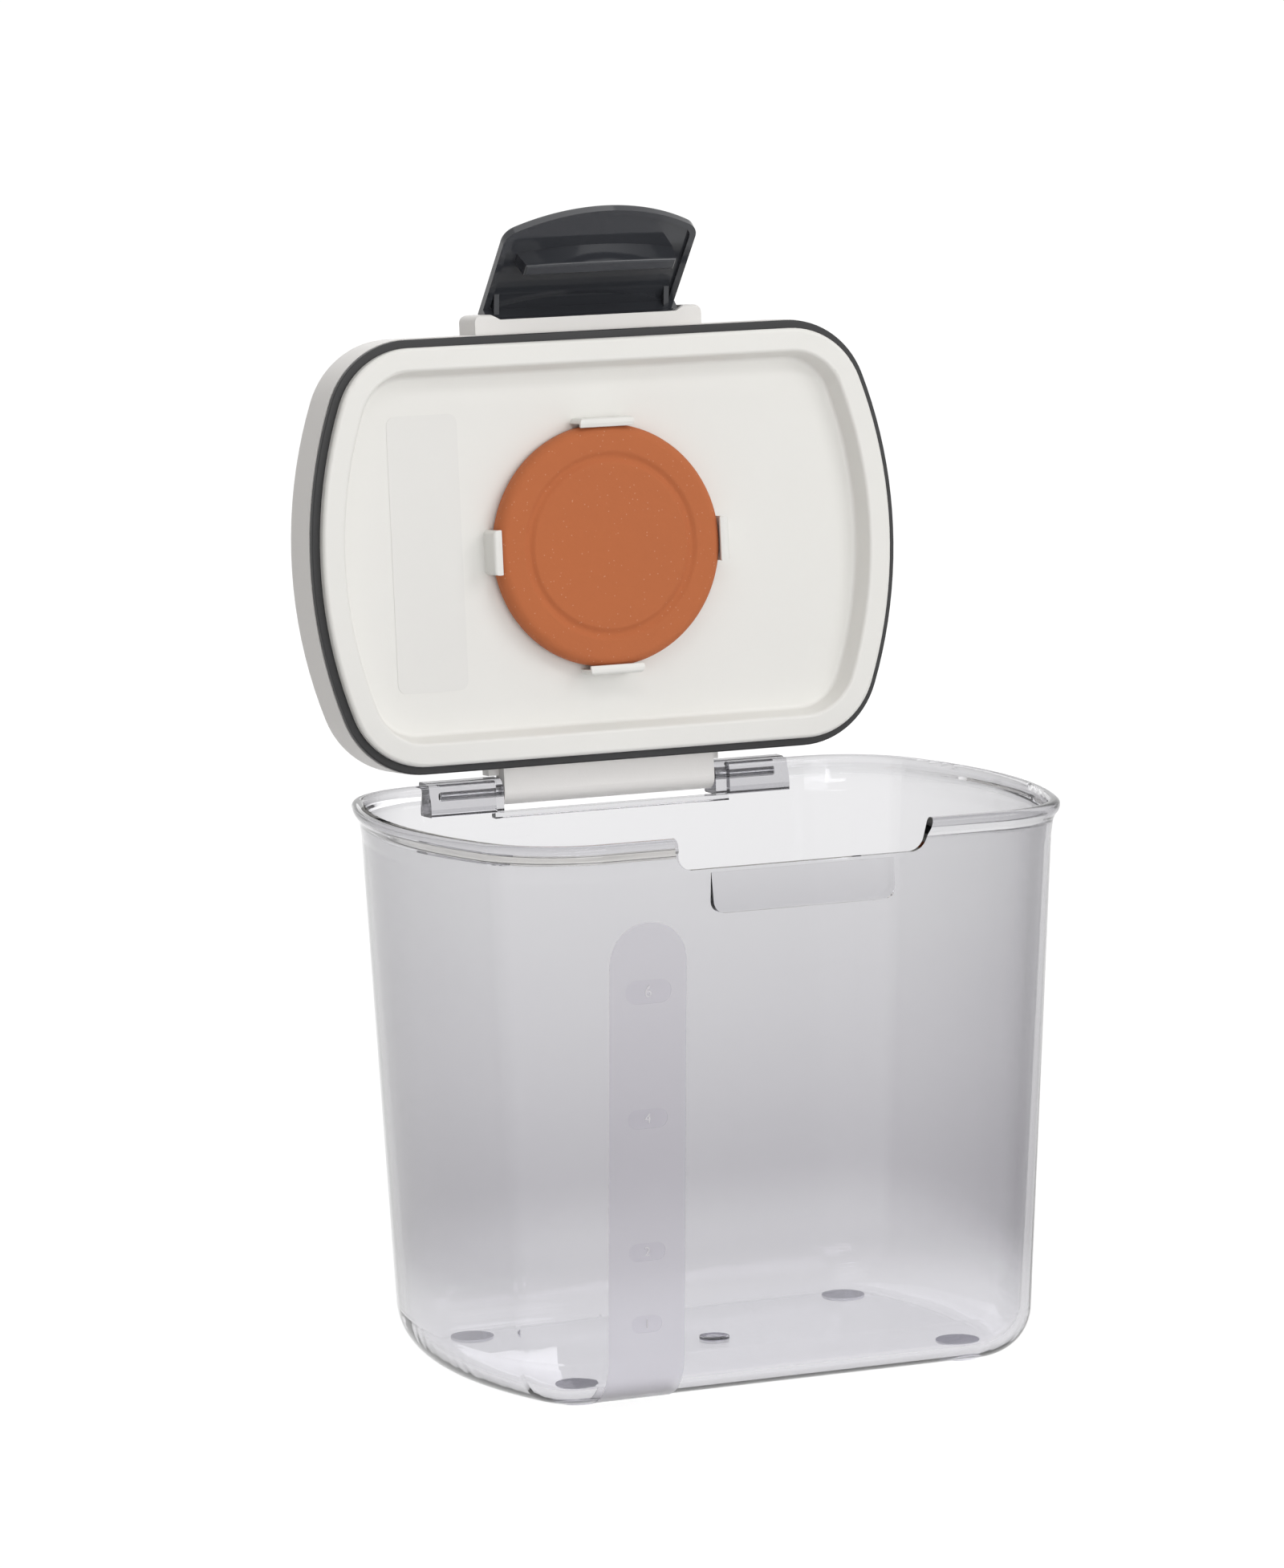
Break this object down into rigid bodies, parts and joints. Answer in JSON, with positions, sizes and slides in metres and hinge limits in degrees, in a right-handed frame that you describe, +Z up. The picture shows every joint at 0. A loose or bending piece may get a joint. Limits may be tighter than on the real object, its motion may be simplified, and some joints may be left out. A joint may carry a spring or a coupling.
{
  "type": "sugar container",
  "caption": "Clear rectangular sugar tub with bowed ends, a hinged sealing lid that carries a removable clay disc, and a snap latch flap.",
  "frame": {"origin": "middle of the tub's underside, on the plane that the feet stand on", "axes": "+Z up, +X to the right seen from the front, +Y to the back where the hinge is; the lid stands open at rest"},
  "size_m": [0.1702, 0.1358, 0.2852],
  "materials": {
    "clear_plastic": "clear polished plastic with a faint cool tone",
    "foot_pad": "clear soft pad",
    "steel": "bright drawn pin",
    "white_plastic": "fine satin moulding",
    "seal": "matt dark silicone",
    "terracotta": "unglazed fired clay with fine pale grit",
    "charcoal_plastic": "glossy charcoal moulding"
  },
  "bodies": {
    "container": {"container": "clear_plastic", "foot_front_left": "foot_pad", "foot_front_right": "foot_pad", "foot_rear_left": "foot_pad", "foot_rear_right": "foot_pad", "hinge_pin_left": "steel", "hinge_pin_right": "steel"},
    "lid": {"lid_cover": "white_plastic", "lid_liner": "white_plastic", "lid_gasket": "seal", "latch_pin": "steel"},
    "latch": {"latch_flap": "charcoal_plastic"},
    "disc": {"terracotta_disc": "terracotta"}
  },
  "joints": [
    {"name": "lid_hinge", "type": "hinge", "parent": "container", "child": "lid", "pos_m": [0, 0.0612, 0.137], "axis": [1, 0, 0], "range_deg": [0, 93.8]},
    {"name": "latch_hinge", "type": "hinge", "parent": "lid", "child": "latch", "pos_m": [0, 0.07004, 0.25507], "axis": [1, 0, 0], "range_deg": [-42.8, 47.2]},
    {"name": "disc_slide", "type": "slide", "parent": "lid", "child": "disc", "axis": [0, -0.9978, 0.0663], "range_m": [0, 0.03], "deforming": ["lid_liner"]}
  ]
}
